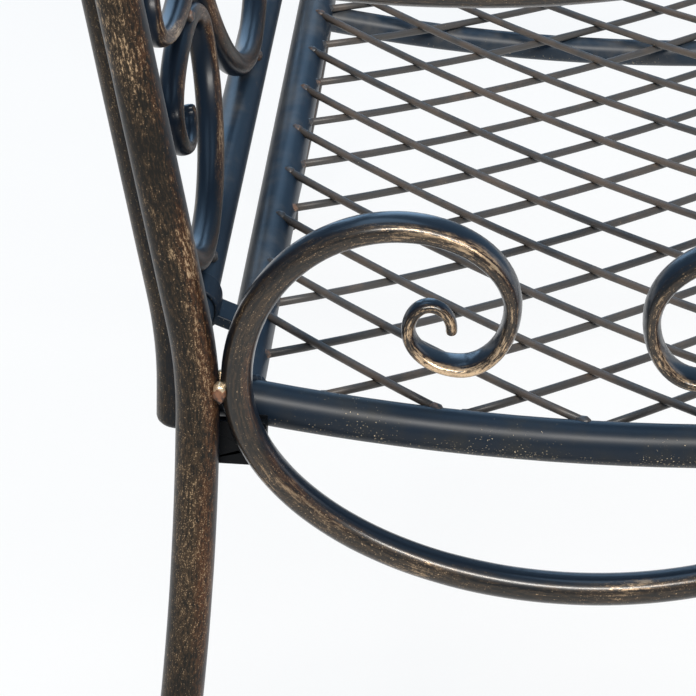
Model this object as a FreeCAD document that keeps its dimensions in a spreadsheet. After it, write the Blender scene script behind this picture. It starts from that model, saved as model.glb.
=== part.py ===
"""Scrolled metal garden bench: two welded side frames, a dished lattice seat and an arched back.

Millimetres. +X runs along the bench, -Y is the front, +Z is up, and the origin is on the floor
under the middle of the bench. Places are given as x, the distance forward of the rear legs, and the height.
"""
import FreeCAD, Part
import math
import os

Vector = FreeCAD.Vector

SIZES = {
    # Bars and tubes
    "frame_tube": 22.0,
    "support_bar": 16.0,
    "seat_rod": 4.4,
    "scroll_thick": 15.5,
    "scroll_wide": 18.0,
    "arm_thick": 20.0,
    "arm_wide": 27.0,
    "back_bar_thick": 14.0,
    "back_bar_wide": 15.0,
    "touch_gap": 0.12,
    "plug_rise": 3.0,
    "weld_bead": 4.0,
    "weld_groove": 5.6,
    # Side frames
    "seat_length": 1000.0,
    "leg_offset": 27.0,
    "leg_spacing": 371.0,
    "weld_height": 436.0,
    "lean_angle": 11.5,
    "lean_bend": 260.0,
    "bend_drop": 12.0,
    "rear_splay": 40.0,
    "front_splay": 35.0,
    "glide_dia": 29.0,
    "glide_tall": 16.0,
    "glide_floor": 5.0,
    # Side scrolls, measured from the weld
    "scroll_low": 101.0,
    "scroll_turn": 9.0,
    "scroll_crown": 96.5,
    "scroll_crown_forward": 98.5,
    # Armrests, measured from the weld and the front leg
    "arm_low_forward": 95.0,
    "arm_low": 222.0,
    "arm_tail": 62.0,
    "arm_crest_back": 31.0,
    "arm_crest": 250.0,
    "arm_nose_reach": 79.0,
    # Seat
    "seat_rear_forward": 18.5,
    "seat_rear_drop": 18.0,
    "seat_front_reach": 17.5,
    "dish_radius": 1120.0,
    "dish_low_forward": 190.0,
    "rod_pitch_long": 57.2,
    "rod_pitch_deep": 72.4,
    "rod_first_column": 53.4,
    "lower_rod_rise": 5.0,
    "tab_thick": 4.0,
    "lug_thick": 4.8,
    "bolt_dia": 6.0,
    "hole_clear": 0.4,
    "bolt_forward": 24.5,
    "bolt_drop": 37.5,
    "tab_round": 9.0,
    # Back
    "back_setback": 12.5,
    "rail_drop": 6.0,
    "stile_drop": 29.0,
    "hoop_spring": 240.0,
    "hoop_rise": 210.0,
    "hoop_shoulder": 150.0,
    "stile_cap_rise": 6.0,
    "end_scroll_mid": 120.0,
    "end_scroll_foot": 108.0,
    "end_scroll_far": 224.0,
    "end_scroll_bulge": 27.0,
    "end_volutes_meet": 173.0,
    "tall_scroll_foot": 133.0,
    "back_volute_thick": 12.0,
    "back_volute_wide": 14.5,
    "screw_dia": 6.0,
    "screw_low": 62.0,
    "screw_high": 190.0,
    "spacer_dia": 13.0,
    "clip_inboard": 77.0,
    "clip_wide": 20.0,
    "clip_wall": 2.5,
    "clip_clear": 0.3,
    "tongue_thick": 6.0,
}

doc = FreeCAD.newDocument("garden_bench")
sheet = doc.addObject("Spreadsheet::Sheet", "sizes")
for row, (alias, value) in enumerate(SIZES.items(), start=1):
    sheet.set(f"A{row}", alias)
    sheet.set(f"B{row}", str(value))
    sheet.setAlias(f"B{row}", alias)
doc.recompute()


def size(alias):
    """A driving dimension, read back from the sheet."""
    return float(sheet.get(alias))


tube_r = size("frame_tube") / 2
gap = size("touch_gap")
half_length = size("seat_length") / 2
leg_x = half_length + size("leg_offset")
weld = size("weld_height")
lean = math.radians(size("lean_angle"))
lean_bend = size("lean_bend")
front_leg = size("leg_spacing")
arm_crest_forward = front_leg - size("arm_crest_back")
arm_nose = front_leg + size("arm_nose_reach")
nodes = []


def node(part, label):
    """Give a finished sub-part its name."""
    part.Label = label
    nodes.append(part)
    return part


def mirrored(part, label):
    """The right-hand twin of a left-hand sub-part."""
    twin = doc.addObject("Part::Mirroring", label)
    twin.Source = part
    twin.Normal = Vector(1, 0, 0)
    return node(twin, label)


def group(parts, label):
    """Like pieces that share one name."""
    together = doc.addObject("Part::Compound", label)
    together.Links = parts
    return node(together, label)


def trimmed(name, base, tools):
    """A piece cut back to the faces of the pieces it is fitted to."""
    for count, tool in enumerate(tools):
        cut = doc.addObject("Part::Cut", f"{name}_fit_{count}")
        cut.Base = base
        cut.Tool = tool
        base = cut
    return base


def bar(name, start, end, diameter):
    """A straight round bar whose diameter is an expression on the sheet."""
    piece = doc.addObject("Part::Cylinder", name)
    piece.setExpression("Radius", f"({diameter}) / 2")
    piece.Height = (end - start).Length
    piece.Placement = FreeCAD.Placement(start, FreeCAD.Rotation(Vector(0, 0, 1), end - start))
    return piece


def bent_bar(name, edges, diameter):
    """A round bar swept along a path of lines and arcs."""
    wire = Part.Wire(edges)
    path = doc.addObject("Part::Feature", f"{name}_path")
    path.Shape = wire
    ring = doc.addObject("Part::Circle", f"{name}_ring")
    ring.setExpression("Radius", f"({diameter}) / 2")
    first = wire.OrderedEdges[0]
    start = wire.OrderedVertexes[0].Point
    ahead = first.tangentAt(first.FirstParameter)
    ring.Placement = FreeCAD.Placement(start, FreeCAD.Rotation(Vector(0, 0, 1), ahead))
    sweep = doc.addObject("Part::Sweep", name)
    sweep.Sections = [ring]
    sweep.Spine = (path, [f"Edge{count + 1}" for count in range(len(edges))])
    sweep.Solid = True
    return sweep


# Armrest and rear leg meet behind the seat, so the depth of the whole bench runs from the crown of the
# hoop to the nose of the armrest. Its middle is y = 0.
def leaning_forward(height, setback):
    """Where a leaning tube's axis is, at a height above the weld on its straight part."""
    bend_top = lean_bend * math.sin(lean) - size("bend_drop")
    bend_shift = lean_bend * (1 - math.cos(lean))
    return -setback - bend_shift - (height - bend_top) * math.tan(lean)


def rail_to_height(up):
    """Height above the weld of a point that lies up the leaning back from the rail's axis."""
    return up * math.cos(lean) - size("rail_drop")


# An armrest's volute is drawn thinner from one outermost point to the next: back from the nose, height above
# the weld, thickness and width.
ARM_VOLUTE = [
    (0.0, 198.0, 9.0, 25.0),
    (25.0, 166.0, 8.2, 20.0),
    (48.0, 187.0, 7.0, 15.0),
    (35.0, 205.0, 6.4, 11.0),
    (22.0, 191.0, 5.6, 9.0),
]
crown_height = rail_to_height(size("hoop_spring") + size("hoop_rise"))
rear_reach = leaning_forward(crown_height, size("back_setback")) - tube_r
front_reach = arm_nose + ARM_VOLUTE[0][2] / 2
middle = (rear_reach + front_reach) / 2


def at(x, forward, height):
    """A point from its x, its distance forward of the rear legs and its height above the weld."""
    return Vector(x, middle - forward, weld + height)


def arc(x, centre, radius, first, last):
    """An arc in the plane of a side frame. Angles in radians, 0 is forward and a quarter turn is up."""
    turns = (first, (first + last) / 2, last)
    points = [at(x, centre[0] + radius * math.cos(t), centre[1] + radius * math.sin(t)) for t in turns]
    return Part.Arc(*points).toShape()


def line(start, end):
    return Part.LineSegment(start, end).toShape()


# Scrolls. A scroll's centre line is a chain of quarter ellipses between its outermost points, so it runs
# level or upright at each of them. The bar is drawn out flatter and thinner from point to point.
SECTIONS_PER_EDGE = 3
DRAWN_TOLERANCE = 0.01
DRAWN_ANGLE = 0.02


def quarter_ellipse(centre, start, end):
    """The quarter of an ellipse from one of its axis ends to the other."""
    if (start - centre).Length >= (end - centre).Length:
        return Part.Ellipse(start, end, centre).toShape(0.0, math.pi / 2)
    return Part.Ellipse(end, centre * 2 - start, centre).toShape(3 * math.pi / 2, 2 * math.pi)


def scroll_edges(chain, level, place):
    """Centre line through a chain of (across, up, thick, wide) points that starts level or upright."""
    edges = []
    for here, there in zip(chain, chain[1:]):
        centre = (here[0], there[1]) if level else (there[0], here[1])
        edges.append(quarter_ellipse(place(*centre), place(*here[:2]), place(*there[:2])))
        level = not level
    return edges


def oval(centre, first, second):
    """A bar's cross section from its two half axes. It starts at the first, whichever is the longer."""
    if first.Length >= second.Length:
        return Part.Ellipse(centre + first, centre + second, centre).toShape()
    return Part.Ellipse(centre - second, centre + first, centre).toShape(math.pi / 2, 5 * math.pi / 2)


def drawn_bar(name, edges, sections, wide_axis):
    """A bar drawn out along its centre line. sections holds (thick, wide) at each end of each edge."""
    shell = Part.BRepOffsetAPI.MakePipeShell(Part.Wire(edges))
    shell.setTolerance(DRAWN_TOLERANCE, DRAWN_TOLERANCE, DRAWN_ANGLE)
    shell.setBiNormalMode(wide_axis)
    for count, edge in enumerate(edges):
        is_last = count == len(edges) - 1
        for step in range(SECTIONS_PER_EDGE + (1 if is_last else 0)):
            share = step / SECTIONS_PER_EDGE
            spot = edge.FirstParameter + (edge.LastParameter - edge.FirstParameter) * share
            centre = edge.valueAt(spot)
            side = edge.tangentAt(spot).cross(wide_axis)
            thick, wide = (a + (b - a) * share for a, b in zip(sections[count], sections[count + 1]))
            shell.add(Part.Wire(oval(centre, wide_axis * (wide / 2), side * (thick / 2))))
    shell.build()
    shell.makeSolid()
    piece = doc.addObject("Part::Feature", name)
    piece.Shape = shell.shape()
    return piece


def scroll(name, chain, level, place, wide_axis):
    """A scroll whose centre line is the chain alone."""
    return drawn_bar(name, scroll_edges(chain, level, place), [point[2:] for point in chain], wide_axis)


# Side frames: rear leg, front leg, armrest and scroll, all in one upright plane. The scroll touches both
# legs at the weld, and the armrest lies on the ends of the legs.
leg_left = -leg_x
foot = size("glide_floor") - weld


def splayed_foot(x, forward, splay):
    """The lower leg: one long arc from the foot to an upright end below the weld."""
    drop = -size("bend_drop") - foot
    radius = (drop**2 + splay**2) / (2 * abs(splay))
    turn = math.asin(drop / radius)
    if splay < 0:
        return arc(x, (forward - radius, -size("bend_drop")), radius, -turn, 0.0)
    return arc(x, (forward + radius, -size("bend_drop")), radius, math.pi + turn, math.pi)


bend_end = lean_bend * math.sin(lean) - size("bend_drop")
bend_shift = lean_bend * (1 - math.cos(lean))
arm_run = arm_crest_forward - size("arm_low_forward")
arm_climb = size("arm_crest") - size("arm_low")
tail_radius = (arm_run**2 / arm_climb + arm_climb) / 4


def arm_height(forward):
    """Height of the armrest's axis over its sagging rear stretch."""
    return size("arm_low") + tail_radius - math.sqrt(tail_radius**2 - (forward - size("arm_low_forward")) ** 2)


rear_top = arm_height(leaning_forward(size("arm_low"), 0.0))
rear_edges = [
    splayed_foot(leg_left, 0.0, -size("rear_splay")),
    arc(leg_left, (-lean_bend, -size("bend_drop")), lean_bend, 0.0, lean),
    line(at(leg_left, -bend_shift, bend_end), at(leg_left, leaning_forward(rear_top, 0.0), rear_top)),
]
rear_leg_whole = bent_bar("rear_leg_whole", rear_edges, "sizes.frame_tube")
front_edges = [
    splayed_foot(leg_left, front_leg, size("front_splay")),
    line(at(leg_left, front_leg, -size("bend_drop")), at(leg_left, front_leg, size("arm_crest"))),
]
front_leg_whole = bent_bar("front_leg_whole", front_edges, "sizes.frame_tube")

# A side volute is drawn thinner from one outermost point to the next: forward of the leg, height above the
# weld, thickness and width.
SIDE_VOLUTE = [
    (152.0, 56.0, 9.0, 21.5),
    (127.0, 23.0, 8.2, 19.5),
    (102.0, 42.0, 7.0, 14.0),
    (112.0, 55.0, 6.4, 10.0),
    (123.0, 42.0, 5.6, 8.5),
]
CROWN_SECTION = (13.5, 20.0)
scroll_mid = front_leg / 2
scroll_edge = tube_r + gap + size("scroll_thick") / 2
scroll_half = [
    (scroll_mid, -size("scroll_low"), size("scroll_thick"), size("scroll_wide")),
    (scroll_edge, size("scroll_turn"), size("scroll_thick"), size("scroll_wide")),
    (size("scroll_crown_forward"), size("scroll_crown"), *CROWN_SECTION),
] + SIDE_VOLUTE
scroll_other = [(front_leg - across, up, thick, wide) for across, up, thick, wide in scroll_half[1:]]
scroll_chain = scroll_other[::-1] + scroll_half


def in_left_frame(across, up):
    return at(leg_left, across, up)


AXIS_X = Vector(1, 0, 0)
side_scroll = scroll("left_side_scroll", scroll_chain, False, in_left_frame, AXIS_X)

arm_turn = math.asin(arm_run / 2 / tail_radius)
arm_tail_turn = math.asin((size("arm_low_forward") + size("arm_tail")) / tail_radius)
arm_edges = [
    arc(leg_left, (size("arm_low_forward"), size("arm_low") + tail_radius), tail_radius,
        -math.pi / 2 - arm_tail_turn, -math.pi / 2 + arm_turn),
    arc(leg_left, (arm_crest_forward, size("arm_crest") - tail_radius), tail_radius,
        math.pi / 2 + arm_turn, math.pi / 2),
]
arm_curl = [(arm_crest_forward, size("arm_crest"), size("arm_thick"), size("arm_wide"))]
arm_curl += [(arm_nose - back, up, thick, wide) for back, up, thick, wide in ARM_VOLUTE]
arm_edges += scroll_edges(arm_curl, True, in_left_frame)
arm_sections = [arm_curl[0][2:]] * 2 + [point[2:] for point in arm_curl]
armrest = drawn_bar("left_armrest", arm_edges, arm_sections, AXIS_X)

# Back hoop: one tube, upright behind the seat, bent back like the legs and arched over the top.
stile_x = half_length
setback = size("back_setback")
spring = size("hoop_spring")
hoop_rise = size("hoop_rise")


def on_back(across, up):
    """A point of the leaning back: across from the left stile's axis, up from the rail's axis."""
    height = rail_to_height(up)
    return at(across - stile_x, leaning_forward(height, setback), height)


back_normal = (on_back(1, 0) - on_back(0, 0)).cross(on_back(0, 1) - on_back(0, 0))
stile_path = [
    line(at(-stile_x, -setback, -size("stile_drop")), at(-stile_x, -setback, -size("bend_drop"))),
    arc(-stile_x, (-lean_bend - setback, -size("bend_drop")), lean_bend, 0.0, lean),
    line(at(-stile_x, -bend_shift - setback, bend_end), on_back(0, spring)),
]
shoulder = size("hoop_shoulder")
crown_r = ((stile_x - shoulder) ** 2 + hoop_rise**2 - shoulder**2) / (2 * (hoop_rise - shoulder))
crown_centre = spring + hoop_rise - crown_r
crown_turn = math.asin((stile_x - shoulder) / (crown_r - shoulder))


def back_arc(centre, radius, first, last):
    """An arc in the plane of the back. Angles in radians, 0 is across and a quarter turn is up."""
    turns = (first, (first + last) / 2, last)
    points = [on_back(centre[0] + radius * math.cos(t), centre[1] + radius * math.sin(t)) for t in turns]
    return Part.Arc(*points).toShape()


hoop_arch = [
    back_arc((shoulder, spring), shoulder, math.pi, math.pi / 2 + crown_turn),
    back_arc((stile_x, crown_centre), crown_r, math.pi / 2 + crown_turn, math.pi / 2 - crown_turn),
    back_arc((2 * stile_x - shoulder, spring), shoulder, math.pi / 2 - crown_turn, 0.0),
]
other_stile = [
    line(on_back(2 * stile_x, spring), at(stile_x, -bend_shift - setback, bend_end)),
    arc(stile_x, (-lean_bend - setback, -size("bend_drop")), lean_bend, lean, 0.0),
    line(at(stile_x, -setback, -size("bend_drop")), at(stile_x, -setback, -size("stile_drop"))),
]
hoop_whole = bent_bar("hoop_whole", stile_path + hoop_arch + other_stile, "sizes.frame_tube")

# Screws that hold the stiles to the rear legs. Each lies on the shortest line between the two tubes,
# goes in from the inside of the stile and ends inside the leg, so no head shows on the leg.
lean_along = Vector(0, math.sin(lean), math.cos(lean))
leg_to_stile = Vector(size("leg_offset"), setback, 0)
leg_to_stile = leg_to_stile - lean_along * leg_to_stile.dot(lean_along)
screw_way = leg_to_stile / leg_to_stile.Length
WASHER_THICK = 1.5
WASHER_FACTOR = 2.0
SCREW_BITE = 6.0
SCREW_HEAD_FACTOR = 1.8
HEAD_TALL = 4.0
screws = []
washers = []
spacers = []
screw_holes = []
for side in (1, -1):
    for count, height in enumerate((size("screw_low"), size("screw_high"))):
        tag = f"{'left' if side == 1 else 'right'}_{count}"
        start = at(leg_left, leaning_forward(height, 0.0), height)
        way = Vector(screw_way.x, screw_way.y, screw_way.z)
        if side == -1:
            start.x = -start.x
            way.x = -way.x
        stile_face = start + way * (leg_to_stile.Length + tube_r)
        hole = bar(f"screw_hole_{tag}", start, stile_face + way * tube_r, "sizes.screw_dia + sizes.hole_clear")
        screw_holes.append(hole)
        spacer = bar(f"spacer_{tag}", start, start + leg_to_stile.Length * way, "sizes.spacer_dia")
        spacers.append((spacer, hole))
        shank_start = start + way * (tube_r - SCREW_BITE)
        shank = bar(f"screw_shank_{tag}", shank_start, stile_face + way * WASHER_THICK, "sizes.screw_dia")
        head = bar(f"screw_head_{tag}", stile_face + way * WASHER_THICK,
                   stile_face + way * (WASHER_THICK + HEAD_TALL), f"sizes.screw_dia * {SCREW_HEAD_FACTOR}")
        screw = doc.addObject("Part::Fuse", f"screw_{tag}")
        screw.Base = shank
        screw.Tool = head
        screws.append(screw)
        disc = bar(f"back_washer_disc_{tag}", stile_face - way * tube_r / 2, stile_face + way * WASHER_THICK,
                   f"sizes.screw_dia * {WASHER_FACTOR}")
        washers.append((disc, hole))

doc.recompute()
left_screw_holes = screw_holes[:2]
rear_leg = node(trimmed("left_rear_leg", rear_leg_whole, [armrest] + left_screw_holes), "left_rear_leg")
front_leg_part = node(trimmed("left_front_leg", front_leg_whole, [armrest]), "left_front_leg")
node(side_scroll, "left_side_scroll")
node(armrest, "left_armrest")
right_rear_leg = mirrored(rear_leg, "right_rear_leg")
mirrored(front_leg_part, "right_front_leg")
mirrored(side_scroll, "right_side_scroll")
mirrored(armrest, "right_armrest")
node(trimmed("back_hoop", hoop_whole, screw_holes), "back_hoop")

# Seat frame: two dished side tubes with the front and rear tubes butted between them.
rear_forward = size("seat_rear_forward")
front_forward = front_leg + size("seat_front_reach")
rear_height = -size("seat_rear_drop")
dish = size("dish_radius")
dish_forward = size("dish_low_forward")
dish_centre = rear_height + math.sqrt(dish**2 - (dish_forward - rear_forward) ** 2)


def dish_height(forward, rise):
    """Height of a curve that lies rise above the side tubes' axis."""
    return dish_centre - math.sqrt((dish - rise) ** 2 - (forward - dish_forward) ** 2)


def dished_arc(x, rise, first, last):
    """An arc of the dish at one x, from one distance forward to another."""
    radius = dish - rise
    turns = [math.asin((forward - dish_forward) / radius) - math.pi / 2 for forward in (first, last)]
    return arc(x, (dish_forward, dish_centre), radius, *turns)


seat_left = bent_bar("seat_left_tube", [dished_arc(-half_length, 0.0, rear_forward - tube_r,
                                                   front_forward + tube_r)], "sizes.frame_tube")
node(seat_left, "seat_left_tube")
seat_right = mirrored(seat_left, "seat_right_tube")
cross_tubes = {}
for label, forward in (("seat_rear_tube", rear_forward), ("seat_front_tube", front_forward)):
    height = dish_height(forward, 0.0)
    whole = bar(f"{label}_whole", at(-half_length, forward, height), at(half_length, forward, height),
                "sizes.frame_tube")
    whole.setExpression("Height", "sizes.seat_length")
    cross_tubes[label] = node(trimmed(label, whole, [seat_left, seat_right]), label)
seat_frame = [seat_left, seat_right] + list(cross_tubes.values())


def domed_plug(name, spot, way, rise):
    """A domed plug that closes the open end of a frame tube."""
    dome = doc.addObject("Part::Ellipsoid", name)
    dome.setExpression("Radius1", rise)
    dome.setExpression("Radius2", "sizes.frame_tube / 2")
    dome.setExpression("Radius3", "sizes.frame_tube / 2")
    dome.Angle1 = 0
    dome.Placement = FreeCAD.Placement(spot, FreeCAD.Rotation(Vector(0, 0, 1), way))
    return dome


# Domed plugs close the open ends of the side tubes, and rounder caps the lower ends of the stiles.
plugs = []
for x in (-half_length, half_length):
    for forward, outward in ((rear_forward - tube_r, -1), (front_forward + tube_r, 1)):
        turn = math.asin((forward - dish_forward) / dish)
        way = Vector(0, -outward * math.cos(turn), outward * math.sin(turn))
        spot = at(x, forward, dish_height(forward, 0.0))
        plugs.append(domed_plug("tube_plug", spot, way, "sizes.plug_rise"))
tube_plugs = group(plugs, "seat_tube_plugs")
caps = []
for x in (-stile_x, stile_x):
    stile_end = at(x, -setback, -size("stile_drop"))
    caps.append(domed_plug("stile_cap", stile_end, Vector(0, 0, -1), "sizes.stile_cap_rise"))
stile_caps = group(caps, "back_stile_caps")

# The middle support follows the dish under the lower rods.
support_rise = size("lower_rod_rise") - size("seat_rod") / 2 - size("support_bar") / 2 - gap
support = bent_bar("support_whole", [dished_arc(0.0, support_rise, rear_forward, front_forward)],
                   "sizes.support_bar")
node(trimmed("seat_centre_support", support, list(cross_tubes.values())), "seat_centre_support")


# Lattice of thin rods in two layers that cross at each other. A rod is bent in its own upright plane to lie
# on the dish, and its ends are fitted to the frame tubes. Its path is in short arcs of one radius, which keep the
# long thin face round when it is meshed.
rod_r = size("seat_rod") / 2
rod_slope = size("rod_pitch_long") / size("rod_pitch_deep")
rod_stretch = math.hypot(1.0, rod_slope)
SHORTEST_ROD = 40.0
ROD_ARC = 60.0


def lattice_rod(x_low, slope, rise, reach):
    """One rod that passes x_low at the dish's lowest line, ended short of the frame tubes' axes."""
    first = rear_forward + reach
    last = front_forward - reach
    inner = half_length - reach
    limits = sorted((edge - x_low) / slope + dish_forward for edge in (-inner, inner))
    first = max(first, limits[0])
    last = min(last, limits[1])
    if (last - first) * rod_stretch < SHORTEST_ROD:
        return None
    radius = (dish - rise) * rod_stretch**2
    low = at(x_low, dish_forward, dish_centre - dish + rise)
    along = Vector(slope, -1.0, 0) / rod_stretch
    turns = [math.asin((forward - dish_forward) * rod_stretch / radius) for forward in (first, last)]
    centre = low + Vector(0, 0, radius)

    def point(turn):
        return centre + along * (radius * math.sin(turn)) - Vector(0, 0, radius * math.cos(turn))

    sweep = turns[1] - turns[0]
    count = max(1, round(sweep * radius / ROD_ARC))
    marks = [turns[0] + sweep * mark / count for mark in range(count + 1)]
    arcs = [Part.Arc(point(a), point((a + b) / 2), point(b)).toShape() for a, b in zip(marks, marks[1:])]
    ahead = along * math.cos(turns[0]) + Vector(0, 0, math.sin(turns[0]))
    shell = Part.BRepOffsetAPI.MakePipeShell(Part.Wire(arcs))
    shell.setBiNormalMode(along.cross(Vector(0, 0, 1)))
    shell.add(Part.Wire(Part.Circle(point(turns[0]), ahead, rod_r).toShape()))
    shell.build()
    shell.makeSolid()
    return shell.shape()


def rod_layer(label, slope, rise, reach):
    """All the rods of one layer, symmetrical about the middle of the bench."""
    pitch = size("rod_pitch_long")
    shift = (dish_forward - size("rod_first_column")) * slope
    reach_count = int((half_length + dish * rod_slope) / pitch)
    rods = []
    for count in range(-reach_count, reach_count + 1):
        rod = lattice_rod(count * pitch + shift, slope, rise, reach)
        if rod:
            rods.append(rod)
    layer = doc.addObject("Part::Feature", f"{label}_whole")
    layer.Shape = Part.makeCompound(rods)
    return node(trimmed(label, layer, seat_frame), label)


LOWER_ROD_BITE = 4.0
UPPER_ROD_BITE = 7.5
upper_rise = size("lower_rod_rise") + size("seat_rod") + gap
rod_layer("seat_rods_lower", -rod_slope, size("lower_rod_rise"), tube_r - LOWER_ROD_BITE)
rod_layer("seat_rods_upper", rod_slope, upper_rise, tube_r - UPPER_ROD_BITE)

# Seat fixings: a tab under each end of the side tubes is bolted to a lug on the inside of each leg.
lug_face = size("leg_offset") - tube_r
tab_outer = lug_face - size("lug_thick")
OVERCUT = 1.0
HEAD_FACTOR = 1.6
HEAD_THICK = 4.0
LUG_TAIL = 7.0
LUG_TOP = 16.0
LUG_CHAMFER = 6.0
TAB_TOP = 18.0


def plate(name, outline, x_first, thick):
    """A flat plate in the plane of a side frame, from (forward, height) points or arcs' three points."""
    edges = []
    for piece in outline:
        points = [at(x_first, *point) for point in piece]
        edges.append(Part.Arc(*points).toShape() if len(points) == 3 else line(*points))
    flat = Part.Face(Part.Wire(edges))
    solid = doc.addObject("Part::Feature", name)
    solid.Shape = flat.extrude(Vector(thick, 0, 0))
    return solid


tabs = []
lugs = []
bolts = []
seat_washers = []
for place, forward, way in (("rear", size("bolt_forward"), 1), ("front", front_leg - size("bolt_forward"), -1)):
    height = dish_height(forward, 0.0) + (size("seat_rear_drop") - size("bolt_drop"))
    left_x = -half_length
    reach = size("tab_round")
    leg_axis = 0.0 if place == "rear" else front_leg
    hole = bar(f"bolt_hole_{place}", at(left_x - lug_face - OVERCUT, forward, height), at(left_x, forward, height),
               "sizes.bolt_dia + sizes.hole_clear")
    tab_outline = [
        [(forward - reach, height), (forward, height - reach), (forward + reach, height)],
        [(forward + reach, height), (forward + reach, height + TAB_TOP)],
        [(forward + reach, height + TAB_TOP), (forward - reach, height + TAB_TOP)],
        [(forward - reach, height + TAB_TOP), (forward - reach, height)],
    ]
    tab_whole = plate(f"tab_whole_{place}", tab_outline, left_x - tab_outer, size("tab_thick"))
    tabs.append(trimmed(f"left_tab_{place}", tab_whole, [seat_left, hole]))
    tail = leg_axis - way * LUG_TAIL
    low = height - reach
    high = height + LUG_TOP
    tip = forward + way * reach
    lug_outline = [
        [(tail, low + LUG_CHAMFER), (tail + way * LUG_CHAMFER, low)],
        [(tail + way * LUG_CHAMFER, low), (forward, low)],
        [(forward, low), (forward + way * reach * math.sin(math.pi / 4), height - reach * math.cos(math.pi / 4)),
         (tip, height)],
        [(tip, height), (tip, high)],
        [(tip, high), (tail, high)],
        [(tail, high), (tail, low + LUG_CHAMFER)],
    ]
    lug_whole = plate(f"lug_whole_{place}", lug_outline, left_x - lug_face, size("lug_thick"))
    lugs.append(trimmed(f"left_lug_{place}", lug_whole, [seat_left, tube_plugs, hoop_whole, stile_caps, hole]))
    tab_inner = left_x - tab_outer + size("tab_thick")
    disc = bar(f"washer_disc_{place}", at(tab_inner, forward, height), at(tab_inner + WASHER_THICK, forward, height),
               f"sizes.bolt_dia * {WASHER_FACTOR}")
    seat_washers.append(trimmed(f"left_washer_{place}", disc, [hole]))
    shank = bar(f"bolt_shank_{place}", at(left_x - lug_face, forward, height),
                at(tab_inner + WASHER_THICK, forward, height), "sizes.bolt_dia")
    head = doc.addObject("Part::Prism", f"bolt_head_{place}")
    head.Polygon = 6
    head.setExpression("Circumradius", f"sizes.bolt_dia * {HEAD_FACTOR} / sqrt(3)")
    head.Height = HEAD_THICK
    head.Placement = FreeCAD.Placement(at(tab_inner + WASHER_THICK, forward, height),
                                       FreeCAD.Rotation(Vector(0, 0, 1), Vector(1, 0, 0)))
    bolt = doc.addObject("Part::Fuse", f"left_bolt_{place}")
    bolt.Base = shank
    bolt.Tool = head
    bolts.append(bolt)


def with_twins(parts, label):
    """A group of the left-hand pieces and their right-hand twins."""
    everything = list(parts)
    for part in parts:
        twin = doc.addObject("Part::Mirroring", f"{part.Name}_twin")
        twin.Source = part
        twin.Normal = Vector(1, 0, 0)
        everything.append(twin)
    return group(everything, label)


with_twins(tabs, "seat_tabs")
left_lugs = group(lugs, "left_leg_lugs")
mirrored(left_lugs, "right_leg_lugs")
with_twins(bolts, "seat_bolts")
with_twins(seat_washers, "seat_washers")

# Foot glides: plastic cups under the legs, with flat soles.
glides = []
for place, forward, leg in (("rear", -size("rear_splay"), rear_leg_whole),
                            ("front", front_leg + size("front_splay"), front_leg_whole)):
    cup = bar(f"glide_cup_{place}", at(leg_left, forward, -weld), at(leg_left, forward, size("glide_tall") - weld),
              "sizes.glide_dia")
    cup.setExpression("Height", "sizes.glide_tall")
    glides.append(trimmed(f"left_glide_{place}", cup, [leg]))
with_twins(glides, "foot_glides")

# Back rail and the scrolls inside the hoop. Each volute is drawn thinner from one outermost point to the next:
# back from where it turns in, down from the end scroll's middle or up from the rail, thickness and width.
END_VOLUTE = [
    (75.6, 28.3, 9.0, 12.5),
    (48.0, 50.0, 7.5, 10.5),
    (27.0, 40.0, 6.0, 8.0),
]
TALL_VOLUTE = [
    (0.0, 98.0, 12.0, 14.5),
    (62.0, 156.0, 11.0, 15.0),
    (112.0, 108.0, 9.0, 13.5),
    (86.0, 76.0, 7.5, 12.0),
    (64.0, 98.0, 6.4, 10.0),
    (80.0, 114.0, 5.6, 8.5),
]
rail_height = -size("rail_drop")
rail_whole = bar("rail_whole", at(-stile_x, -setback, rail_height), at(stile_x, -setback, rail_height),
                 "sizes.frame_tube")
rail = node(trimmed("back_bottom_rail", rail_whole, [hoop_whole]), "back_bottom_rail")

bar_thick = size("back_bar_thick")
bar_wide = size("back_bar_wide")
seat_on_tube = tube_r + gap + bar_thick / 2
rail_shift = leaning_forward(rail_height, setback) + setback
rail_reach = math.sqrt(seat_on_tube**2 - (rail_shift * math.cos(lean)) ** 2)
seat_on_rail = rail_shift * math.sin(lean) + rail_reach
volute_thick = size("back_volute_thick")
volute_wide = size("back_volute_wide")
end_mid = size("end_scroll_mid")
end_foot = size("end_scroll_foot")
end_far = size("end_scroll_far")
end_meet = size("end_volutes_meet")
end_bulge = size("end_scroll_bulge")
end_half = [
    (seat_on_tube, end_mid, bar_thick, bar_wide),
    (end_foot, seat_on_rail, bar_thick, bar_wide),
    (end_far, end_mid - end_bulge, volute_thick, volute_wide),
    (end_meet, end_mid - volute_thick / 2 - gap, volute_thick, volute_wide),
]
end_half += [(end_meet - back, end_mid - down, thick, wide) for back, down, thick, wide in END_VOLUTE]
end_other = [(across, 2 * end_mid - up, thick, wide) for across, up, thick, wide in end_half[1:]]
end_chain = end_other[::-1] + end_half

side_touch = end_far + volute_thick / 2 + gap / 2
side_up = end_mid + end_bulge
tall_back = side_touch + gap / 2 + bar_thick / 2
tall_foot = tall_back + size("tall_scroll_foot")
tall_far = stile_x - gap - volute_thick / 2


def under_hoop():
    """The highest top of a tall scroll that stays clear of the falling crown, and the tilt where they touch."""
    least = crown_centre + crown_r
    touching = 0.0
    for step in range(round(tall_foot - tall_back)):
        tilt = math.asin((stile_x - tall_foot + step) / crown_r)
        room = crown_centre + crown_r * math.cos(tilt) - seat_on_tube / math.cos(tilt)
        drop = (least - side_up) * (1 - math.sqrt(1 - (step / (tall_foot - tall_back)) ** 2))
        if room + drop < least:
            least = room + drop
            touching = tilt
    return least, touching


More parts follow.
